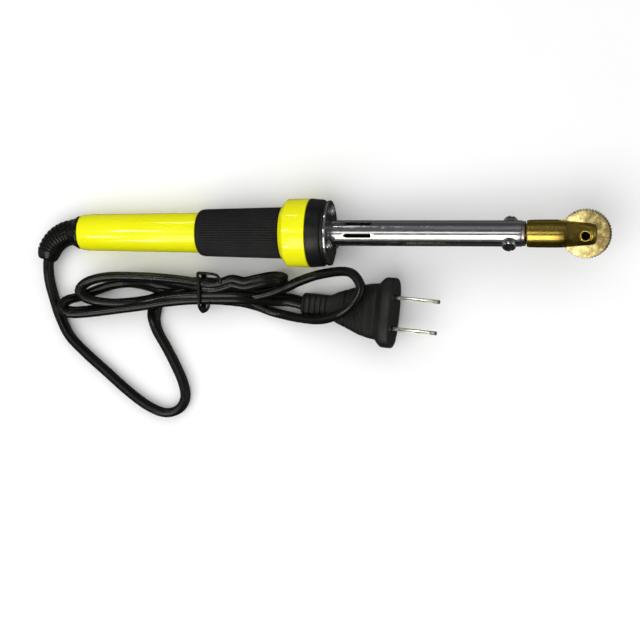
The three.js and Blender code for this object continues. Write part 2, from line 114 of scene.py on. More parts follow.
RISER_ROUTE = [
    (-0.0691, -0.0302, 0.0021, 82), (-0.0677, -0.0269, 0.0020, 90), (-0.0650, -0.0246, 0.0020, 90),
    (-0.0611, -0.0226, 0.0022, 90), (-0.0550, -0.0214, 0.0028, 90), (-0.0499, -0.0212, 0.0031, 90),
    (-0.0430, -0.0214, 0.0029, 90), (-0.0345, -0.0217, 0.0022, 90), (-0.0265, -0.0212, 0.0020, 90),
]
FOLD_ROUTE = [
    (-0.0205, -0.0206, 0.0022, 90), (-0.0163, -0.0200, 0.0033, 90), (-0.0136, -0.0194, 0.0067, 90),
    (-0.0150, -0.0187, 0.0102, 90), (-0.0189, -0.0190, 0.0118, 90),
]
TOP_RUN_ROUTE = [
    (-0.0247, -0.0203, 0.0123, 90), (-0.0292, -0.0212, 0.0124, 88), (-0.0340, -0.0203, 0.0126, 84),
    (-0.0390, -0.0219, 0.0122, 78), (-0.0436, -0.0225, 0.0118, 70), (-0.0484, -0.0219, 0.0114, 65),
    (-0.0541, -0.0209, 0.0108, 55), (-0.0620, -0.0198, 0.0102, 35),
    (-0.0706, -0.0189, 0.0098, 15), (-0.0789, -0.0184, 0.0096, 0), (-0.0863, -0.0185, 0.0095, 0),
    (-0.0924, -0.0194, 0.0095, 0), (-0.0966, -0.0208, 0.0095, 0), (-0.0991, -0.0226, 0.0095, 0),
    (-0.1002, -0.0246, 0.0095, 0), (-0.0993, -0.0266, 0.0095, 0), (-0.0966, -0.0282, 0.0094, 0),
    (-0.0920, -0.0292, 0.0092, 0), (-0.0863, -0.0297, 0.0088, 0),
]
MIDDLE_RUN_ROUTE = [
    (-0.0786, -0.0294, 0.0083, 15), (-0.0710, -0.0285, 0.0080, 30), (-0.0634, -0.0268, 0.0077, 55),
    (-0.0557, -0.0249, 0.0072, 80), (-0.0489, -0.0238, 0.0069, 90), (-0.0421, -0.0240, 0.0069, 90),
    (-0.0344, -0.0250, 0.0070, 70), (-0.0275, -0.0258, 0.0072, 40), (-0.0215, -0.0252, 0.0076, 15),
    (-0.0156, -0.0236, 0.0080, 0),
]
LOOP_ROUTE = [
    (-0.0108, -0.0216, 0.0082, 0), (-0.0063, -0.0195, 0.0090, 0), (0.0019, -0.0169, 0.0112, 0),
    (0.0117, -0.0156, 0.0154, 0), (0.0170, -0.0169, 0.0181, 0), (0.0201, -0.0217, 0.0193, 0),
    (0.0190, -0.0265, 0.0194, 0), (0.0153, -0.0303, 0.0187, 0), (0.0101, -0.0335, 0.0166, 0),
    (0.0025, -0.0354, 0.0120, 0), (-0.0067, -0.0348, 0.0060, 0), (-0.0144, -0.0334, 0.0033, 0),
]
LOWER_RUN_ROUTE = [
    (-0.0201, -0.0319, 0.0031, 0), (-0.0257, -0.0298, 0.0031, 15), (-0.0317, -0.0280, 0.0030, 40),
    (-0.0386, -0.0270, 0.0030, 70), (-0.0446, -0.0267, 0.0031, 88), (-0.0498, -0.0266, 0.0032, 90),
    (-0.0558, -0.0256, 0.0042, 85), (-0.0619, -0.0239, 0.0056, 75), (-0.0670, -0.0228, 0.0060, 60),
    (-0.0715, -0.0219, 0.0053, 35), (-0.0765, -0.0213, 0.0041, 12), (-0.0820, -0.0211, 0.0032, 0),
    (-0.0881, -0.0220, 0.0031, 0), (-0.0938, -0.0239, 0.0031, 0), (-0.0986, -0.0258, 0.0033, 0),
]
LAST_RUN_ROUTE = [
    (-0.1023, -0.0273, 0.0044, 0), (-0.1050, -0.0282, 0.0062, 0), (-0.1069, -0.0295, 0.0081, 5),
    (-0.1077, -0.0313, 0.0090, 15), (-0.1068, -0.0330, 0.0093, 25), (-0.1044, -0.0338, 0.0092, 32),
    (-0.0994, -0.0337, 0.0091, 36), (-0.0933, -0.0330, 0.0091, 38), (-0.0863, -0.0320, 0.0093, 42),
    (-0.0783, -0.0308, 0.0097, 50), (-0.0704, -0.0295, 0.0100, 60), (-0.0626, -0.0281, 0.0103, 72),
    (-0.0548, -0.0272, 0.0106, 82), (-0.0480, -0.0268, 0.0107, 90), (-0.0404, -0.0266, 0.0106, 90),
    (-0.0329, -0.0265, 0.0101, 90), (-0.0272, -0.0267, 0.0088, 80), (-0.0225, -0.0269, 0.0069, 70),
    (-0.0177, -0.0271, 0.0052, 65), (-0.0136, -0.0272, 0.0043, 60),
]
PLUG_LEAD_ROUTE = [
    (-0.0116, -0.0273, 0.0041, 50), (-0.0086, -0.0279, 0.0041, 50), (-0.0050, -0.0288, 0.0042, 50),
    (-0.0020, -0.0291, 0.0047, 50),
]
CORD_ROUTE = (LEAD_ROUTE + RISER_ROUTE + FOLD_ROUTE + TOP_RUN_ROUTE + MIDDLE_RUN_ROUTE + LOOP_ROUTE
              + LOWER_RUN_ROUTE + LAST_RUN_ROUTE + PLUG_LEAD_ROUTE)
CORE_RADIUS = 0.0019
CORE_OFFSET = 0.0011
CORE_WAIST = math.radians(128)
RING_SPACING = 0.0011
TIE_RADIUS = 0.0006

# ---- The camera ----
CAMERA_YAW = math.radians(8.05)
CAMERA_ROLL = math.radians(0.9)
CAMERA_DISTANCE = 0.570
CAMERA_TARGET = Vector((0.00316, -0.0355, 0.01479))
CAMERA_LENS = 78.55
SENSOR_WIDTH = 36


# ---- Frames ----
def mount_frame(name):
    """A frame at one of the record's mounts, with +X along the mount's axis and +Y level."""
    mount = next(m for m in frame["record"]["mounts"] if m["name"] == name)
    along = Vector(mount["axis"]).normalized()
    across = Vector((0, 0, 1)).cross(along).normalized()
    up = along.cross(across)
    matrix = Matrix((along, across, up)).transposed().to_4x4()
    return Matrix.Translation(mount["pos_m"]) @ matrix


def moved(x, y=0, z=0):
    """A shift in millimetres."""
    return Matrix.Translation((x * MM, y * MM, z * MM))


# The flange's mount is on the circle of its screws, this far round from level.
MOUNT_ANGLE = math.radians(30)
TOOL = mount_frame("flange_face") @ moved(
    0, -FLANGE_SCREW_CIRCLE * math.sin(MOUNT_ANGLE), -FLANGE_SCREW_CIRCLE * math.cos(MOUNT_ANGLE))
PLUG = mount_frame("plug_face")
FORK = TOOL @ Matrix.Rotation(FORK_ROLL, 4, "X")
STAND_UP = Matrix.Rotation(-math.pi / 2, 4, "Y")
WHEEL_AXIS = FORK @ moved(WHEEL_ALONG) @ STAND_UP


# ---- Mesh helpers ----
def shade(obj, sharp_angle):
    """Smooth shading, with a crease where two faces meet at more than sharp_angle degrees."""
    mesh = bmesh.new()
    mesh.from_mesh(obj.data)
    bmesh.ops.recalc_face_normals(mesh, faces=mesh.faces)
    limit = math.radians(sharp_angle)
    for face in mesh.faces:
        face.smooth = True
    for edge in mesh.edges:
        edge.smooth = len(edge.link_faces) == 2 and edge.calc_face_angle() < limit
    mesh.to_mesh(obj.data)
    mesh.free()


def add_mesh(name, points, faces, at, sharp_angle=35):
    """An object from points in millimetres in the frame at."""
    mesh = bpy.data.meshes.new(name)
    mesh.from_pydata([at @ (Vector(point) * MM) for point in points], [], faces)
    obj = bpy.data.objects.new(name, mesh)
    bpy.context.scene.collection.objects.link(obj)
    shade(obj, sharp_angle)
    return obj


def rounded(outline, steps=4):
    """Rounds the corners of a closed outline of (x, y, setback) points."""
    line = []
    count = len(outline)
    for i, (x, y, setback) in enumerate(outline):
        here = Vector((x, y))
        if setback == 0:
            line.append(here)
            continue
        back = Vector(outline[i - 1][:2]) - here
        on = Vector(outline[(i + 1) % count][:2]) - here
        # A setback stops short of a side's middle, so that it never meets its neighbour's.
        start = here + back.normalized() * min(setback, 0.48 * back.length)
        end = here + on.normalized() * min(setback, 0.48 * on.length)
        for k in range(steps + 1):
            t = k / steps
            line.append((1 - t) ** 2 * start + 2 * t * (1 - t) * here + t ** 2 * end)
    return line


def grid_faces(rows, columns, closed_rows):
    """Quads between rings of points; closed_rows also joins the last ring to the first."""
    faces = []
    for i in range(rows if closed_rows else rows - 1):
        for j in range(columns):
            after = (j + 1) % columns
            low, high = i * columns, ((i + 1) % rows) * columns
            faces.append((low + j, low + after, high + after, high + j))
    return faces


def lathe(name, outline, at=TOOL, sides=96, shape=None, sharp_angle=35):
    """A hollow piece turned about +X from a closed outline of (along, radius, setback) points.

    shape(along, radius, angle) may give another radius, for ribs and teeth.
    """
    points = []
    line = rounded(outline)
    for along, radius in line:
        for j in range(sides):
            angle = TURN * j / sides
            r = shape(along, radius, angle) if shape else radius
            points.append((along, r * math.sin(angle), r * math.cos(angle)))
    return add_mesh(name, points, grid_faces(len(line), sides, True), at, sharp_angle)


def prism(name, outline, low, high, at):
    """A cutter: a flat outline of (x, y) points, from z = low to z = high."""
    count = len(outline)
    points = [(x, y, z) for z in (low, high) for x, y in outline]
    faces = [tuple(range(count))[::-1], tuple(range(count, 2 * count))]
    faces += [(i, (i + 1) % count, count + (i + 1) % count, count + i) for i in range(count)]
    return add_mesh(name, points, faces, at)


def rectangle(x0, y0, x1, y1):
    return [(x0, y0), (x1, y0), (x1, y1), (x0, y1)]


def circle(radius, sides):
    """A circle's outline about the origin."""
    angles = [TURN * k / sides for k in range(sides)]
    return [(radius * math.cos(angle), radius * math.sin(angle)) for angle in angles]


def capsule(x0, x1, width, steps=12):
    """A slot's outline along x, with round ends."""
    half = width / 2
    outline = []
    for middle, start in ((x1 - half, -math.pi / 2), (x0 + half, math.pi / 2)):
        for k in range(steps + 1):
            angle = start + math.pi * k / steps
            outline.append((middle + half * math.cos(angle), half * math.sin(angle)))
    return outline


def apply_modifiers(obj):
    graph = bpy.context.evaluated_depsgraph_get()
    made = bpy.data.meshes.new_from_object(obj.evaluated_get(graph))
    old = obj.data
    obj.modifiers.clear()
    obj.data = made
    bpy.data.meshes.remove(old)


def carve(obj, cutters, edge=0.0):
    """Takes the cutters out of obj, then rounds its sharp edges by edge millimetres."""
    for cutter in cutters:
        difference = obj.modifiers.new("carve", "BOOLEAN")
        difference.object = cutter
        difference.solver = "EXACT"
    apply_modifiers(obj)
    for cutter in cutters:
        bpy.data.objects.remove(cutter)
    if edge:
        bevel = obj.modifiers.new("edge", "BEVEL")
        bevel.width = edge * MM
        bevel.segments = 2
        bevel.limit_method = "ANGLE"
        bevel.angle_limit = math.radians(38)
        apply_modifiers(obj)
    shade(obj, 35)


def finish_piece(obj, surface, nodes, body="tool_body"):
    """Gives a piece its material in one slot and its body, and hides the CAD nodes that it stands for."""
    obj.data.materials.clear()
    obj.data.materials.append(surface)
    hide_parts(*nodes)
    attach(obj, body)
    return obj


def line_bore(obj, surface, at, low, high, radius):
    """Gives another material to the faces within radius of the axis of at, from low to high."""
    obj.data.materials.append(surface)
    to_axis = at.inverted()
    for face in obj.data.polygons:
        along, y, z = (to_axis @ face.center) / MM
        if low < along < high and math.hypot(y, z) < radius:
            face.material_index = 1


# ---- Materials ----
def spread(tree, value, low, high, to_low, to_high):
    """A node that maps the value's range low to high onto to_low to to_high."""
    node = tree.nodes.new("ShaderNodeMapRange")
    tree.links.new(value, node.inputs["Value"])
    node.inputs["From Min"].default_value = low
    node.inputs["From Max"].default_value = high
    node.inputs["To Min"].default_value = to_low
    node.inputs["To Max"].default_value = to_high
    return node.outputs["Result"]


class Nodes:
    """A new material with a Principled shader, and short ways to add nodes to it."""

    def __init__(self, name, roughness=0.5, metallic=0.0):
        self.material = bpy.data.materials.new(name)
        self.material.use_nodes = True
        self.tree = self.material.node_tree
        self.shader = self.tree.nodes["Principled BSDF"]
        self.shader.inputs["Roughness"].default_value = roughness
        self.shader.inputs["Metallic"].default_value = metallic
        self.place = self.add("ShaderNodeTexCoord").outputs["Object"]

    def add(self, kind, **sockets):
        node = self.tree.nodes.new(kind)
        for name, value in sockets.items():
            self.link(value, node.inputs[name.replace("_", " ")])
        return node

    def link(self, value, socket):
        if isinstance(value, bpy.types.NodeSocket):
            self.tree.links.new(value, socket)
        else:
            socket.default_value = value

    def noise(self, scale, detail=3.0, place=None, stretch=None):
        """A noise value; scale is in cells per metre, and stretch multiplies it on each axis."""
        place = place or self.place
        if stretch:
            place = self.add("ShaderNodeMapping", Vector=place, Scale=stretch).outputs[0]
        return self.add("ShaderNodeTexNoise", Vector=place, Scale=scale, Detail=detail).outputs["Fac"]

    def between(self, value, low, high):
        """The value's middle range, 0.35 to 0.65, spread from low to high."""
        return spread(self.tree, value, 0.35, 0.65, low, high)

    def colour(self, value, first, second):
        """Makes the base colour a mix of two shades, by a noise value."""
        node = self.add("ShaderNodeMix")
        node.data_type = "RGBA"
        self.link(self.between(value, 0, 1), node.inputs["Factor"])
        shades = [socket for socket in node.inputs if socket.type == "RGBA"]
        for socket, shade_of in zip(shades, (first, second)):
            socket.default_value = (*shade_of, 1)
        mixed = next(socket for socket in node.outputs if socket.type == "RGBA")
        self.link(mixed, self.shader.inputs["Base Color"])

    def roughness(self, value, low, high):
        self.link(self.between(value, low, high), self.shader.inputs["Roughness"])

    def bump(self, *layers):
        """Stacks bumps of (height value, depth in metres) on the shader's normal."""
        normal = None
        for height, depth in layers:
            node = self.add("ShaderNodeBump", Height=height, Strength=1.0, Distance=depth)
            if normal:
                self.link(normal, node.inputs["Normal"])
            normal = node.outputs["Normal"]
        self.link(normal, self.shader.inputs["Normal"])


def plastic(name, first, second, roughness, grain, depth, waviness=0.00003, gloss=0.5, blotch=90):
    """A moulded plastic or rubber: two close shades, a fine grain and a slow waviness."""
    nodes = Nodes(name)
    nodes.shader.inputs["Specular IOR Level"].default_value = gloss
    nodes.colour(nodes.noise(blotch), first, second)
    nodes.roughness(nodes.noise(grain * 0.4), *roughness)
    nodes.bump((nodes.noise(blotch * 1.6, 1.0), waviness), (nodes.noise(grain, 2.0), depth))
    return nodes.material


def metal(name, first, second, roughness, lines, depth, edge_tint=(1, 1, 1), blotch=120):
    """A metal: two close shades, and drawn or turned lines from a noise stretched on some axes."""
    nodes = Nodes(name, metallic=1.0)
    nodes.shader.inputs["Specular Tint"].default_value = (*edge_tint, 1)
    nodes.colour(nodes.noise(blotch, 4.0), first, second)
    nodes.roughness(nodes.noise(blotch * 3), *roughness)
    nodes.bump((nodes.noise(blotch * 0.8, 1.0), depth * 4), (nodes.noise(1.0, 2.0, stretch=lines), depth))
    return nodes.material


def wheel_brass():
    """Knurled brass: streaks that run out from the wheel's centre, patches of tarnish, and a painted
    shade that darkens the wheel towards its +X side.
    """
    nodes = Nodes("wheel_brass", metallic=1.0)
    centre = WHEEL_AXIS.translation
    local = nodes.add("ShaderNodeVectorMath", Vector=nodes.place)
    local.operation = "SUBTRACT"
    local.inputs[1].default_value = centre
    parts = nodes.add("ShaderNodeSeparateXYZ", Vector=local.outputs[0])
    angle = nodes.add("ShaderNodeMath")
    angle.operation = "ARCTAN2"
    nodes.link(parts.outputs["Y"], angle.inputs[0])
    nodes.link(parts.outputs["X"], angle.inputs[1])
    around = nodes.add("ShaderNodeCombineXYZ", X=angle.outputs[0]).outputs[0]
    streaks = nodes.noise(30.0, 3.0, place=around)
    # Painted shade: this ramp leans the colour mix towards the dark shade on the wheel's +X side.
    painted_shade_ramp = nodes.add("ShaderNodeVectorMath", Vector=local.outputs[0])
    painted_shade_ramp.operation = "DOT_PRODUCT"
    painted_shade_ramp.inputs[1].default_value = PAINTED_SHADE_SLOPE
    # The noise gives the real tarnish patches, and the ramp added to it is painted shade.
    tarnish_and_shade = nodes.add("ShaderNodeMath")
    nodes.link(nodes.noise(420, 4.0), tarnish_and_shade.inputs[0])
    nodes.link(painted_shade_ramp.outputs["Value"], tarnish_and_shade.inputs[1])
    nodes.colour(tarnish_and_shade.outputs[0], (0.92, 0.80, 0.36), (0.34, 0.25, 0.10))
    nodes.roughness(streaks, 0.22, 0.38)
    nodes.bump((nodes.noise(150, 1.0), 0.00016), (streaks, 0.00006), (nodes.noise(1400, 2.0), 0.00002))
    return nodes.material


def make_materials():
    """All the surfaces by name; metals are drawn along the tool or turned about it."""
    along, rings = (60, 2600, 2600), (4200, 160, 160)
    return {
        "yellow_plastic": plastic(
            "yellow_plastic", (0.88, 0.86, 0.003), (0.90, 0.89, 0.006), (0.09, 0.13), 900, 0.0000006,
            waviness=0.000003),
        "grip_rubber": plastic(
            "grip_rubber", (0.0055, 0.0060, 0.0058), (0.0095, 0.0100, 0.0098), (0.55, 0.7), 2600, 0.00003,
            gloss=0.3),
        "black_phenolic": plastic(
            "black_phenolic", (0.0050, 0.0058, 0.0054), (0.0085, 0.0094, 0.0090), (0.30, 0.42), 1800,
            0.00001, gloss=0.35),
        "black_pvc": plastic(
            "black_pvc", (0.0022, 0.0026, 0.0020), (0.0042, 0.0048, 0.0038), (0.16, 0.28), 1200, 0.000003,
            waviness=0.00006, gloss=0.38),
        "plug_plastic": plastic(
            "plug_plastic", (0.0045, 0.0055, 0.0045), (0.0080, 0.0090, 0.0078), (0.36, 0.50), 2400,
            0.00002, gloss=0.4),
        "tie_plastic": plastic(
            "tie_plastic", (0.0025, 0.0025, 0.0025), (0.0050, 0.0050, 0.0050), (0.2, 0.32), 1500, 0.00001,
            gloss=0.5),
        "chromed_steel": metal(
            "chromed_steel", (0.68, 0.68, 0.69), (0.75, 0.75, 0.76), (0.10, 0.20), along, 0.0000016,
            (0.5, 0.5, 0.5)),
        # The barrel's inner wall: a near-black steel.
        "dark_inner_steel": metal(
            "dark_inner_steel", (0.020, 0.018, 0.016), (0.045, 0.040, 0.034), (0.5, 0.7), along, 0.000004),
        "plain_steel": metal(
            "plain_steel", (0.42, 0.40, 0.38), (0.58, 0.56, 0.54), (0.2, 0.34), rings, 0.000003),
        "brass": metal(
            "brass", (0.68, 0.50, 0.10), (0.58, 0.42, 0.085), (0.20, 0.28), rings, 0.0000015,
            (0.55, 0.45, 0.25)),
        "wheel_brass": wheel_brass(),
        "nickel": metal(
            "nickel", (0.62, 0.60, 0.50), (0.76, 0.74, 0.63), (0.14, 0.26), along, 0.000003),
        # Painted shade for the rivet's blind bore: near-black, matt and almost without gloss.
        "painted_shade_bore": plastic(
            "painted_shade_bore", (0.008, 0.004, 0.004), (0.014, 0.007, 0.006), (0.9, 1.0), 1500, 0.00001,
            gloss=0.1),
        "ceramic": plastic(
            "ceramic", (0.72, 0.69, 0.62), (0.82, 0.80, 0.74), (0.55, 0.7), 3000, 0.00002),
        "mica": plastic(
            "mica", (0.012, 0.010, 0.007), (0.028, 0.022, 0.014), (0.5, 0.7), 1500, 0.00003, gloss=0.2),
        "resistance_wire": metal(
            "resistance_wire", (0.30, 0.28, 0.26), (0.42, 0.40, 0.37), (0.3, 0.5), along, 0.000006),
    }


# ---- The cord ----
def along_spline(points, t):
    """A point on the Catmull-Rom curve through points, where t = 2.5 is halfway from 2 to 3."""
    i = min(int(t), len(points) - 2)
    u = t - i
    p0 = points[max(i - 1, 0)]
    p1, p2 = points[i], points[i + 1]
    p3 = points[min(i + 2, len(points) - 1)]
    return 0.5 * (2 * p1 + (p2 - p0) * u + (2 * p0 - 5 * p1 + 4 * p2 - p3) * u ** 2
                  + (3 * p1 - p0 - 3 * p2 + p3) * u ** 3)


def evenly(route, spacing):
    """Points at an even spacing on the smooth curve through a route; extra values ride along."""
    knots = [Vector(point) for point in route]
    steps = 40
    fine = [along_spline(knots, k / steps) for k in range(steps * (len(knots) - 1) + 1)]
    picked, travelled = [fine[0]], 0.0
    for before, here in zip(fine, fine[1:]):
        travelled += (here.xyz - before.xyz).length
        if travelled >= spacing:
            picked.append(here)
            travelled = 0.0
    return picked


def tangents(points):
    """The unit direction of the line at each of its points."""
    last = len(points) - 1
    return [(points[min(i + 1, last)].xyz - points[max(i - 1, 0)].xyz).normalized()
            for i in range(last + 1)]


def twin_section(steps=14):
    """The twin-core outline as (across the width, across the thickness): two arcs with a waist."""
    outline = []
    for side in (1, -1):
        for k in range(steps + 1):
            angle = CORE_WAIST * (2 * k / steps - 1)
            outline.append((side * (CORE_OFFSET + CORE_RADIUS * math.cos(angle)),
                            side * CORE_RADIUS * math.sin(angle)))
    return outline


def mains_cord(surface):
    """The flat twin lead swept along its route, leaning as the route says, and its centreline."""
    rings = evenly(CORD_ROUTE, RING_SPACING)
    section = twin_section()
    up = Vector((0, 0, 1))
    side = None
    points = []
    for ring, tangent in zip(rings, tangents(rings)):
        # Where the lead climbs steeply, its side is carried on from the ring before.
        level = up.cross(tangent)
        if level.length > 0.3 or side is None:
            level.normalize()
            if side is not None and level.dot(side) < 0:
                level.negate()
            side = level
        side = (side - tangent * side.dot(tangent)).normalized()
        edge = side.cross(tangent)
        if edge.z < 0:
            edge.negate()
        lean = math.radians(ring[3])
        width = (edge * math.cos(lean) + side * math.sin(lean)).normalized()
        depth = tangent.cross(width)
        points += [(ring.xyz + width * a + depth * b) / MM for a, b in section]
    count = len(section)
    faces = grid_faces(len(rings), count, False)
    faces += [tuple(range(count)), tuple(range(len(points) - count, len(points)))]
    cord = add_mesh("mains_cord", points, faces, Matrix.Identity(4), 60)
    finish_piece(cord, surface, ["cord_lead", "cord_hank", "cord_loop", "cord_plug_lead"])
    return cord, [tuple(ring.xyz) for ring in rings]


def wire(name, route, radius, sides=10):
    """A round wire along a route of (x, y, z) points in metres."""
    line = evenly(route, radius * 0.8)
    directions = tangents(line)
    across = directions[0].orthogonal().normalized()
    points = []
    for here, tangent in zip(line, directions):
        across = (across - tangent * across.dot(tangent)).normalized()
        other = tangent.cross(across)
        for k in range(sides):
            angle = TURN * k / sides
            points.append((here + radius * (across * math.cos(angle) + other * math.sin(angle))) / MM)
    faces = grid_faces(len(line), sides, False)
    faces += [tuple(range(sides)), tuple(range(len(points) - sides, len(points)))]
    return add_mesh(name, points, faces, Matrix.Identity(4), 60)


def wire_tie(surface):
    """A plastic-covered wire wound round the hank, its ends bent into an ear above and one below."""
    route = [
        (-0.0385, -0.0212, 0.0142), (-0.0389, -0.0192, 0.0150), (-0.0402, -0.0178, 0.0146),
        (-0.0428, -0.0171, 0.0142), (-0.0455, -0.0169, 0.0138), (-0.0473, -0.0171, 0.0133),
        (-0.0479, -0.0168, 0.0110), (-0.0480, -0.0166, 0.0070), (-0.0481, -0.0168, 0.0020),
        (-0.0481, -0.0185, 0.0008), (-0.0481, -0.0240, 0.0007), (-0.0481, -0.0300, 0.0009),
        (-0.0480, -0.0319, 0.0025), (-0.0479, -0.0321, 0.0070), (-0.0478, -0.0312, 0.0120),
        (-0.0478, -0.0290, 0.0138), (-0.0479, -0.0240, 0.0142), (-0.0482, -0.0190, 0.0142),
        (-0.0487, -0.0170, 0.0128), (-0.0491, -0.0166, 0.0070), (-0.0492, -0.0169, 0.0022),
        (-0.0493, -0.0186, 0.0008), (-0.0493, -0.0240, 0.0007), (-0.0492, -0.0299, 0.0011),
        (-0.0491, -0.0316, 0.0030), (-0.0484, -0.0323, 0.0065), (-0.0472, -0.0328, 0.0088),
        (-0.0456, -0.0324, 0.0105), (-0.0440, -0.0309, 0.0122), (-0.0437, -0.0292, 0.0130),
    ]
    tie = wire("wire_tie", route, TIE_RADIUS)
    return finish_piece(tie, surface, ["cord_tie"])


# ---- The handle ----
def handle_moulding(surface):
    """The yellow handle and its collar, in one hollow moulding."""
    outline = [
        (REAR, 4.6, 0.2), (REAR, 6.5, 0.6), (REAR + 0.7, 7.3, 0.5), (-104, 7.65, 1.6),
        (GRIP_BACK - 0.3, 8.25, 0.25), (GRIP_BACK - 0.3, 7.3, 0), (COLLAR_BACK - 0.1, 7.3, 0),
        (COLLAR_BACK, 11, 0.3), (COLLAR_EDGE, 13.85, 0.4), (RING_BACK - 0.3, 14.0, 0.3),
        (RING_BACK - 0.3, 12, 0.1), (-13.5, 12, 0), (-13.5, 6.4, 0), (COLLAR_BACK, 6.4, 0),
        (COLLAR_BACK, 5.7, 0), (REAR + 2.2, 5.7, 0), (REAR + 2.2, 4.6, 0),
    ]
    handle = lathe("handle_moulding", outline, sides=128)
    finish_piece(handle, surface, ["handle_shell"])


def ribbed_grip(surface):
    """The soft sleeve, with fine ribs along it that fade out at its rounded back edge."""
    front = COLLAR_BACK - 0.6
    middle = [(GRIP_BACK + step, 9.72 + 0.024 * step, 0) for step in range(3, 33, 3)]
    outline = [
        (GRIP_BACK, 7.6, 0), (GRIP_BACK, 8.7, 0.4), (GRIP_BACK + 0.6, 9.4, 0.5),
        (GRIP_BACK + 2, 9.75, 0.7), *middle, (front, 10.55, 0.25), (front, 7.6, 0),
    ]

    def ribs(along, radius, angle):
        if radius < 8.8:
            return radius
        fade = min(max((along - GRIP_BACK - 1.2) / 1.4, 0), 1)
        wave = 0.5 - 0.5 * math.cos(angle * GRIP_RIBS)
        return radius - GRIP_RIB_DEPTH * fade * wave ** 3

    grip = lathe("ribbed_grip", outline, sides=GRIP_RIBS * 8, shape=ribs, sharp_angle=50)
    finish_piece(grip, surface, ["grip_sleeve"])


def insulating_ring(surface):
    """The black ring between the collar and the flange, with a spigot inside the collar."""
    outline = [
        (-13.2, 6.3, 0), (-13.2, 11.7, 0), (RING_BACK, 11.7, 0), (RING_BACK, 14.1, 0.35),
        (-2.3, 13.6, 0.35), (-2.0, 12.9, 0.12), (-0.8, 12.9, 0.1), (-0.8, 6.3, 0),
    ]
    ring = lathe("insulating_ring", outline, sides=128)
    finish_piece(ring, surface, ["front_ring"])


def steel_flange(surface):
    outline = [(-0.6, 5.4, 0), (-0.6, 13.3, 0.2), (FLANGE_FACE, 13.3, 0.35), (FLANGE_FACE, 5.4, 0.1)]
    flange = lathe("steel_flange", outline, sides=128)
    finish_piece(flange, surface, ["flange_plate"])


def cross_screws(surface):
    """Three pan-head screws on the flange, each with a tapered cross recess."""
    for i in range(3):
        angle = math.radians(FLANGE_SCREW_ROLL + 120 * i)
        at = TOOL @ moved(FLANGE_FACE, FLANGE_SCREW_CIRCLE * math.sin(angle),
                          FLANGE_SCREW_CIRCLE * math.cos(angle))
        turned = at @ Matrix.Rotation(math.radians(25 + 40 * i), 4, "X")
        outline = [
            (-1.1, AXIS_HOLE, 0), (-1.1, 1.2, 0), (0.1, 1.2, 0), (0.1, 2.3, 0.2), (0.7, 2.3, 0.3),
            (1.5, 1.6, 0.6), (1.9, AXIS_HOLE, 0),
        ]
        screw = lathe(f"cross_screw_{i + 1}", outline, at, sides=48)
        arms = [
            prism("arm", [(1.0, -0.6), (2.2, -1.3), (2.2, 1.3), (1.0, 0.6)], -0.24, 0.24,
                  turned @ Matrix.Rotation(math.pi / 2 * k, 4, "X"))
            for k in range(2)
        ]
        carve(screw, arms, 0.05)
        finish_piece(screw, surface, [f"flange_screw_{i + 1}"])


# ---- The barrel ----
def slotted_barrel(surface, inside_surface):
    """The thin steel tube round the heater, with slots just beyond the flange and a near-black inside."""
    inner = BARREL_RADIUS - 0.5
    steps = 24
    span = (BARREL_END - BARREL_BACK) / steps
    outer_line = [(BARREL_BACK + span * k, BARREL_RADIUS, 0) for k in range(1, steps)]
    inner_line = [(along, inner, 0) for along, _, _ in reversed(outer_line)]
    outline = [
        (BARREL_BACK, BARREL_RADIUS, 0), *outer_line, (BARREL_END, BARREL_RADIUS, 0.2),
        (BARREL_END, inner, 0.1), *inner_line, (BARREL_BACK, inner, 0),
    ]
    barrel = lathe("slotted_barrel", outline, sides=96)
    slots = [
        prism("slot", capsule(SLOT_START, SLOT_END, SLOT_WIDTH), 2, 8,
              TOOL @ Matrix.Rotation(SLOT_ROLL + TURN * i / SLOT_COUNT, 4, "X"))
        for i in range(SLOT_COUNT)
    ]
    carve(barrel, slots, 0.12)
    finish_piece(barrel, surface, ["barrel_tube"])
    line_bore(barrel, inside_surface, TOOL, BARREL_BACK - 1, BARREL_END + 1, BARREL_RADIUS - 0.4)


def barrel_bush(surface):
    """The bush that closes the barrel's end round the brass shank, with a lip that shows."""
    lip = BARREL_END + 0.2
    outline = [
        (68, 3.3, 0), (68, 4.45, 0), (lip, 4.45, 0), (lip, 4.95, 0.12),
        (lip + 1.1, 4.95, 0.25), (lip + 1.4, 4.2, 0.2), (lip + 1.4, 3.3, 0),
    ]
    bush = lathe("barrel_bush", outline)
    finish_piece(bush, surface, ["tip_bush"])


def slotted_screws(surface):
    """Two cheese-head screws opposite each other, which clamp the brass shank."""
    head = BARREL_RADIUS + 0.3
    for name, turn, slot_turn in (("lower", 0, 0.35), ("upper", math.pi, 0.2)):
        at = TOOL @ Matrix.Rotation(TIP_SCREW_ROLL + turn, 4, "X") @ moved(TIP_SCREW_ALONG) @ STAND_UP
        outline = [
            (3.4, AXIS_HOLE, 0), (3.4, 1.3, 0), (head - 0.3, 1.3, 0), (head - 0.3, 2.75, 0.2),
            (head + 1.5, 2.85, 0.3), (head + 2.1, 2.3, 0.5), (head + 2.15, AXIS_HOLE, 0),
        ]
        screw = lathe(f"slotted_screw_{name}", outline, at, sides=64)
        slot = prism("slot", rectangle(head + 1.1, -4, head + 4, 4), -0.38, 0.38,
                     at @ Matrix.Rotation(slot_turn, 4, "X"))
        carve(screw, [slot], 0.07)
        finish_piece(screw, surface, [f"tip_screw_{name}"])


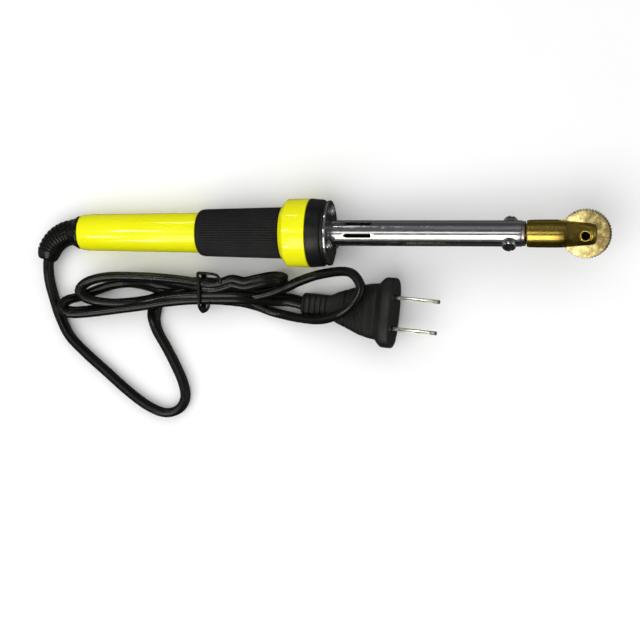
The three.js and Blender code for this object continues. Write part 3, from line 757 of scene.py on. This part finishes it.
# ---- The brass fork and wheel ----
def roof_cutter(turn):
    """What is filed off one face of the fork's end: all that is above a low, softened ridge."""
    reach, top, step = 8, 9, 0.175
    across = [-reach, *(step * k for k in range(-15, 16)), reach]
    roof = []
    for y in across:
        fall = math.sqrt(y * y + ROOF_SOFTNESS) - math.sqrt(ROOF_SOFTNESS)
        roof.append((y, ROOF_HEIGHT - ROOF_SLOPE * fall))
    outline = [(-reach, top), *roof, (reach, top)]
    # The outline is drawn across the fork and runs along it, so it stands up on the fork's axis.
    face = FORK @ Matrix.Rotation(turn, 4, "X")
    at = face @ Matrix.Rotation(math.pi / 2, 4, "Z") @ Matrix.Rotation(math.pi / 2, 4, "X")
    return prism("roof", outline, FACETS_START, FORK_END + 6, at)


def brass_fork(surface):
    """The brass shank, its end filed to a roof on two faces and slotted for the wheel."""
    shank = [(along, 5.55, 0) for along in (84, 86, 88, 90)]
    outline = [
        (46, AXIS_HOLE, 0), (46, 2.4, 0.3), (66, 2.4, 0), (66, 3, 0.2), (BRASS_START, 3, 0),
        (BRASS_START, 5.15, 0.25), (80, 5.42, 0.3), *shank, (92.3, 5.55, 1.5), (98.5, 5.02, 0),
        (104.8, 4.5, 0.8), (106, 4.0, 0.5), (FORK_END, 3.2, 0.3), (FORK_END, AXIS_HOLE, 0),
    ]
    fork = lathe("brass_fork", outline, FORK, sides=96)
    wheel_slot = prism("slot", rectangle(WHEEL_SLOT_BACK, -9, FORK_END + 5, 9),
                       -WHEEL_SLOT_HALF_WIDTH, WHEEL_SLOT_HALF_WIDTH, FORK)
    through = WHEEL_AXIS @ Matrix.Rotation(math.pi / 2, 4, "Y")
    pin_hole = prism("hole", circle(PIN_HOLE_RADIUS, 48), -9, 9, through)
    carve(fork, [roof_cutter(0), roof_cutter(math.pi), wheel_slot, pin_hole], 0.1)
    finish_piece(fork, surface, ["tip_fork"])


def hollow_rivet(surface, bore_shade_surface):
    """The wheel's semi-tubular rivet: a rolled rim round a blind bore above, a domed head below."""
    outline = [
        (-4.5, AXIS_HOLE, 0), (-4.4, 1.5, 0.3), (-4.0, 2.35, 0.3), (-3.5, 2.4, 0.2), (-3.4, 1.98, 0),
        (3.3, 1.98, 0), (3.3, 2.3, 0.1), (3.9, 2.5, 0.3), (4.6, 2.3, 0.35), (4.65, 1.75, 0.25),
        (4.1, 1.5, 0.2), (-1, 1.45, 0.1), (-1.2, AXIS_HOLE, 0),
    ]
    rivet = lathe("hollow_rivet", outline, WHEEL_AXIS, sides=64)
    finish_piece(rivet, surface, ["wheel_pin"])
    # The blind bore is given the near-black surface as painted shade in its recess.
    line_bore(rivet, bore_shade_surface, WHEEL_AXIS, -1.3, 4.1, 1.55)


def spur_wheel(surface):
    """A toothed wheel with a groove round its rim for the wire, its faces thinning to the rim."""
    half = [
        (0.22, 9.05, 0.08), (0.3, 10.0, 0.1), (0.62, 9.9, 0.1), (0.74, 9.2, 0.1), (0.77, 8.4, 0),
        (0.82, 7.6, 0), (0.86, 6.4, 0), (0.91, 5.2, 0), (0.96, 4.0, 0), (1.0, 3.0, 0), (0.9, 2.2, 0.1),
        (0.7, 2.08, 0),
    ]
    outline = half + [(-along, radius, setback) for along, radius, setback in reversed(half)]

    def teeth(along, radius, angle):
        # The gaps are cut deepest at the rim, and a tooth's top is flat.
        if radius < TOOTH_ROOT + 0.1:
            return radius
        gap = max(abs((angle * WHEEL_TEETH / TURN) % 1 - 0.5) * 2 - 0.45, 0)
        return radius - TOOTH_DEPTH * gap * 1.8 * (radius - TOOTH_ROOT) / 0.9

    wheel = lathe("spur_wheel", outline, WHEEL_AXIS, WHEEL_TEETH * 12, teeth, 32)
    finish_piece(wheel, surface, ["embedding_wheel"], "wheel_body")


# ---- The strain relief ----
def bend(obj):
    """Bends what lies behind the handle along the strain relief's arc, towards -Y."""
    inverse = TOOL.inverted()
    for vertex in obj.data.vertices:
        x, y, z = (inverse @ vertex.co) / MM
        along = REAR - x - BOOT_STRAIGHT
        if along > 0:
            angle = min(along / BOOT_BEND_RADIUS, BOOT_BEND)
            straight = along - angle * BOOT_BEND_RADIUS
            radius = BOOT_BEND_RADIUS + y
            x = REAR - BOOT_STRAIGHT - radius * math.sin(angle) - straight * math.cos(angle)
            y = radius * math.cos(angle) - BOOT_BEND_RADIUS - straight * math.sin(angle)
            vertex.co = TOOL @ (Vector((x, y, z)) * MM)


def strain_relief(surface):
    """The ribbed rubber boot: a cap on the handle, a plain neck, ribs and a rounded end."""
    outline = [
        (REAR + 4.4, 5.2, 0), (REAR + 2.5, 5.2, 0), (REAR + 2.4, 4.3, 0), (REAR - 0.1, 4.3, 0),
        (REAR - 0.1, 6.8, 0.15), (REAR - 0.9, 6.9, 0.3), (REAR - 2.4, 5.9, 0.7), (REAR - 4.2, 5.45, 0.3),
    ]
    for i in range(BOOT_RIBS):
        start = REAR - 4.5 - i * 1.55
        radius = 5.4 - 0.05 * i
        outline += [(start, radius, 0.15), (start - 0.3, radius - 0.34, 0.15),
                    (start - 0.5, radius - 0.34, 0.15), (start - 0.8, radius, 0.2)]
    outline += [
        (REAR - 18.9, 4.7, 0.5), (REAR - 20.6, 4.2, 0.6), (REAR - BOOT_LENGTH, 3.5, 0.2),
        (REAR - BOOT_LENGTH, 2.9, 0.1),
    ]
    outline += [(REAR - along, 2.6, 0) for along in (21, 18, 15, 12, 9, 6, 3, 0)]
    outline.append((REAR + 4.4, 2.6, 0))
    boot = lathe("strain_relief", outline, sides=72, sharp_angle=60)
    bend(boot)
    finish_piece(boot, surface, ["cord_boot"])


# ---- The plug ----
PLUG_SIZES = [
    # along, half width, half height, squareness of the section
    (-39.8, 3.6, 3.1, 3.0), (-39.65, 4.1, 3.5, 3.0), (-39.2, 4.6, 3.85, 3.2), (-38.5, 4.85, 4.0, 3.4),
    (-28.0, 4.8, 4.1, 3.6), (-26.6, 5.2, 4.25, 3.6), (-24.0, 6.6, 4.75, 3.6), (-19.0, 8.4, 5.3, 3.6),
    (-14.0, 10.3, 5.6, 3.8), (-10.0, 11.2, 5.8, 4.0), (-7.4, 11.5, 5.95, 4.0), (-6.6, 11.7, 6.0, 3.8),
    (-5.2, 13.6, 6.5, 3.0), (-4.5, 14.2, 7.0, 2.8), (-3.9, 14.4, 7.15, 2.7), (-0.8, 14.4, 7.2, 2.7),
    (-0.3, 14.2, 7.05, 2.7), (-0.05, 13.8, 6.75, 2.7), (0.0, 13.3, 6.3, 2.7),
]
PLUG_GROOVES = [
    # middles, half width, depth, share of the half width that a groove reaches
    ([-38.0 + 2.35 * i for i in range(5)], 0.5, 0.75, 0.86),
    ([-18.2 + 1.12 * i for i in range(10)], 0.3, 0.26, 0.88),
]
PLUG_WAISTS = [
    # middle, half width, share of the section's size that it takes off
    (-20.3, 0.55, 0.10), (-6.9, 0.3, 0.03),
]


def plug_size(along):
    """The plug's half width, half height and squareness, between the nearest listed sections."""
    for low, high in zip(PLUG_SIZES, PLUG_SIZES[1:]):
        if along <= high[0]:
            t = (along - low[0]) / (high[0] - low[0])
            return [a + (b - a) * t for a, b in zip(low[1:], high[1:])]
    return list(PLUG_SIZES[-1][1:])


def notch(distance, half_width, depth):
    """The depth of a rounded groove at a distance from its middle."""
    return depth * max(0.0, 1 - (distance / half_width) ** 4)


def plug_point(along, angle):
    """A point of the plug's surface: a rounded box section, cut by the grooves and waists."""
    half_width, half_height, square = plug_size(along)
    cos, sin = math.cos(angle), math.sin(angle)
    y = half_width * math.copysign(abs(cos) ** (2 / square), cos)
    z = half_height * math.copysign(abs(sin) ** (2 / square), sin)
    cut = 0.0
    for middles, groove_half, depth, reach in PLUG_GROOVES:
        if abs(y) / half_width < reach and abs(z) > half_height * 0.6:
            cut += sum(notch(along - middle, groove_half, depth) for middle in middles)
    z -= math.copysign(min(cut, abs(z)), z)
    shrink = 1 - sum(notch(along - middle, half, share) for middle, half, share in PLUG_WAISTS)
    return along, y * shrink, z * shrink


def moulded_plug(surface):
    """The plug's body, lofted through its sections, with its grooves and a pocket for each blade."""
    sides = 144
    neck = {round(-39 + 0.14 * k, 2) for k in range(82)}
    ribbed_part = {round(-21.2 + 0.12 * k, 2) for k in range(128)}
    alongs = sorted({size[0] for size in PLUG_SIZES} | neck | ribbed_part)
    points = [plug_point(along, TURN * j / sides) for along in alongs for j in range(sides)]
    faces = grid_faces(len(alongs), sides, False)
    faces += [tuple(range(sides)), tuple(range(len(points) - sides, len(points)))]
    plug = add_mesh("moulded_plug", points, faces, PLUG, 40)
    pockets = []
    for side in (1, -1):
        middle = side * BLADE_SPACING / 2
        pockets.append(prism("pocket", rectangle(-5, middle - 1, 2, middle + 1), -3.45, 3.45, PLUG))
    carve(plug, pockets)
    return finish_piece(plug, surface, ["plug_body"])


def plug_blades(surface):
    """Two flat blades with a chamfered end and a hole near it."""
    blades = []
    for name, side in (("upper", 1), ("lower", -1)):
        at = PLUG @ moved(0, side * BLADE_SPACING / 2) @ Matrix.Rotation(math.pi / 2, 4, "X")
        outline = [(-6, -3.15), (16.6, -3.15), (18, -1.9), (18, 1.9), (16.6, 3.15), (-6, 3.15)]
        blade = prism(f"blade_{name}", outline, -BLADE_HALF_THICKNESS, BLADE_HALF_THICKNESS, at)
        hole = prism("hole", circle(BLADE_HOLE_RADIUS, 32), -3, 3, at @ moved(BLADE_HOLE_ALONG))
        carve(blade, [hole], 0.22)
        blades.append(finish_piece(blade, surface, [f"plug_blade_{name}"]))
    return blades


# ---- Stage ----
def add_camera():
    """The photograph's view: from above, a little beyond the flange, and turned a touch."""
    back = Vector((math.sin(CAMERA_YAW), 0, math.cos(CAMERA_YAW)))
    right = Vector((math.cos(CAMERA_YAW), 0, -math.sin(CAMERA_YAW)))
    up = Vector((0, 1, 0))
    across = right * math.cos(CAMERA_ROLL) + up * math.sin(CAMERA_ROLL)
    above = up * math.cos(CAMERA_ROLL) - right * math.sin(CAMERA_ROLL)
    data = bpy.data.cameras.new("camera")
    data.lens = CAMERA_LENS
    data.sensor_width = SENSOR_WIDTH
    data.clip_start = 0.02
    camera = bpy.data.objects.new("camera", data)
    turn = Matrix((across, above, back)).transposed().to_4x4()
    camera.matrix_world = Matrix.Translation(CAMERA_TARGET + back * CAMERA_DISTANCE) @ turn
    bpy.context.scene.collection.objects.link(camera)
    bpy.context.scene.camera = camera


def softbox(name, direction, distance, size, brightness, tint=(1, 1, 1), diffuse=True, glossy=True):
    """A rectangular light that faces the tool; brightness is its radiance."""
    data = bpy.data.lights.new(name, "AREA")
    data.shape = "RECTANGLE"
    data.size, data.size_y = size
    data.energy = brightness * math.pi * size[0] * size[1]
    data.color = tint
    light = bpy.data.objects.new(name, data)
    towards = Vector(direction).normalized()
    along = Vector((1, 0, 0))
    across = towards.cross(along).normalized()
    along = across.cross(towards)
    turn = Matrix((along, across, towards)).transposed().to_4x4()
    light.matrix_world = Matrix.Translation(towards * distance + Vector((0, 0, 0.02))) @ turn
    light.visible_camera = False
    light.visible_diffuse = diffuse
    light.visible_glossy = glossy
    bpy.context.scene.collection.objects.link(light)


def from_zenith(degrees, x=0.0):
    """A direction tilted from straight up towards -Y, with an offset along X."""
    angle = math.radians(degrees)
    return (x, -math.sin(angle), math.cos(angle))


def add_lights():
    """Broad lights for the surfaces' own colours, and bands and spots for their reflections."""
    softbox("key", (-0.3, -0.5, 1), 1.3, (1.5, 1.2), 2.4, glossy=False)
    softbox("fill", (0.2, 0.5, 1), 1.4, (1.8, 1.4), 0.9, glossy=False)
    softbox("ceiling", (0, 0, 1), 5.0, (14, 14), 0.42, glossy=False)
    # From here on each light is seen only as a streak or a spot in a shiny surface.
    cream = (1, 0.97, 0.90)
    softbox("band_low", from_zenith(39, -0.18), 1.5, (0.62, 0.98), 2.9, cream, diffuse=False)
    softbox("band_high", from_zenith(-2, -0.18), 1.5, (0.66, 0.30), 1.3, cream, diffuse=False)
    softbox("band_rear", from_zenith(24, -0.62), 1.5, (0.60, 0.22), 0.5, diffuse=False)
    softbox("skirt", from_zenith(70, -0.25), 1.5, (1.1, 0.5), 0.12, cream, diffuse=False)
    softbox("glint_top", from_zenith(-6, -0.46), 1.5, (0.16, 0.10), 24, diffuse=False)
    softbox("glint_low", from_zenith(54, -0.40), 1.5, (0.12, 0.12), 20, diffuse=False)
    softbox("glint_rear", from_zenith(32, -0.54), 1.5, (0.10, 0.12), 20, diffuse=False)
    softbox("collar_line", from_zenith(-58, -0.31), 1.5, (0.15, 0.09), 12, diffuse=False)
    softbox("violet", from_zenith(-46, 0.1), 1.6, (0.9, 0.70), 0.13, (0.80, 0.74, 1), diffuse=False)
    softbox("end_right", (1, -0.15, 0.5), 1.6, (1.2, 1.0), 0.5, diffuse=False)
    softbox("end_left", (-1, -0.15, 0.35), 1.6, (1.2, 0.8), 0.25, diffuse=False)


def add_world():
    """A dim room, darkest at the horizon, with lighter walls beyond the tool's two ends."""
    world = bpy.data.worlds.new("room")
    world.use_nodes = True
    tree = world.node_tree
    background = tree.nodes["Background"]
    parts = tree.nodes.new("ShaderNodeSeparateXYZ")
    place = tree.nodes.new("ShaderNodeTexCoord").outputs["Generated"]
    tree.links.new(place, parts.inputs[0])

    ramp = tree.nodes.new("ShaderNodeValToRGB")
    tree.links.new(spread(tree, parts.outputs["Z"], -1, 1, 0, 1), ramp.inputs["Fac"])
    ramp.color_ramp.elements[0].color = (0.030, 0.030, 0.028, 1)
    ramp.color_ramp.elements[1].color = (0.12, 0.12, 0.12, 1)
    for position, grey in ((0.22, 0.13), (0.38, 0.09), (0.5, 0.03), (0.62, 0.06)):
        step = ramp.color_ramp.elements.new(position)
        step.color = (grey, grey, grey * 0.96, 1)
    tree.links.new(ramp.outputs["Color"], background.inputs["Color"])

    ends = tree.nodes.new("ShaderNodeMath")
    ends.operation = "ABSOLUTE"
    tree.links.new(parts.outputs["X"], ends.inputs[0])
    strength = tree.nodes.new("ShaderNodeMath")
    strength.operation = "ADD"
    tree.links.new(spread(tree, parts.outputs["Y"], -1, 1, 0.3, 1.2), strength.inputs[0])
    tree.links.new(spread(tree, ends.outputs[0], 0.4, 0.8, 0, 1.3), strength.inputs[1])
    tree.links.new(strength.outputs[0], background.inputs["Strength"])
    bpy.context.scene.world = world


def add_floor():
    """A wide pale matt floor, which shiny pieces don't mirror."""
    nodes = Nodes("floor", roughness=0.9)
    nodes.shader.inputs["Specular IOR Level"].default_value = 0.0
    nodes.colour(nodes.noise(6), (0.90, 0.90, 0.90), (0.92, 0.92, 0.92))
    reach = 6000
    corners = [(x, y, 0) for x, y in rectangle(-reach, -reach, reach, reach)]
    floor = add_mesh("floor", corners, [(0, 1, 2, 3)], Matrix.Identity(4))
    floor.data.materials.append(nodes.material)
    floor.visible_glossy = False


# The CAD nodes that keep their own shape, and the surface that each is given.
CARRIED_OVER = {
    "heater_former": "ceramic", "lead_insulator": "ceramic", "heater_sleeve": "mica",
    "heater_winding": "resistance_wire", "heater_lead_live": "resistance_wire",
    "heater_lead_neutral": "resistance_wire", "crimp_sleeve_live": "nickel",
    "crimp_sleeve_neutral": "nickel", "cord_core_live": "black_pvc", "cord_core_neutral": "black_pvc",
    "cord_tail": "black_pvc",
}


def main():
    bpy.context.scene.view_settings.view_transform = "Standard"
    add_camera()
    surfaces = make_materials()
    cord, centreline = mains_cord(surfaces["black_pvc"])
    tie = wire_tie(surfaces["tie_plastic"])
    handle_moulding(surfaces["yellow_plastic"])
    ribbed_grip(surfaces["grip_rubber"])
    insulating_ring(surfaces["black_phenolic"])
    steel_flange(surfaces["chromed_steel"])
    cross_screws(surfaces["chromed_steel"])
    slotted_barrel(surfaces["chromed_steel"], surfaces["dark_inner_steel"])
    barrel_bush(surfaces["plain_steel"])
    slotted_screws(surfaces["chromed_steel"])
    brass_fork(surfaces["brass"])
    hollow_rivet(surfaces["brass"], surfaces["painted_shade_bore"])
    spur_wheel(surfaces["wheel_brass"])
    strain_relief(surfaces["black_pvc"])
    plug = moulded_plug(surfaces["plug_plastic"])
    blades = plug_blades(surfaces["nickel"])
    for node, surface in CARRIED_OVER.items():
        frame["nodes"][node].data.materials.clear()
        frame["nodes"][node].data.materials.append(surfaces[surface])
    add_floor()
    add_world()
    add_lights()


main()
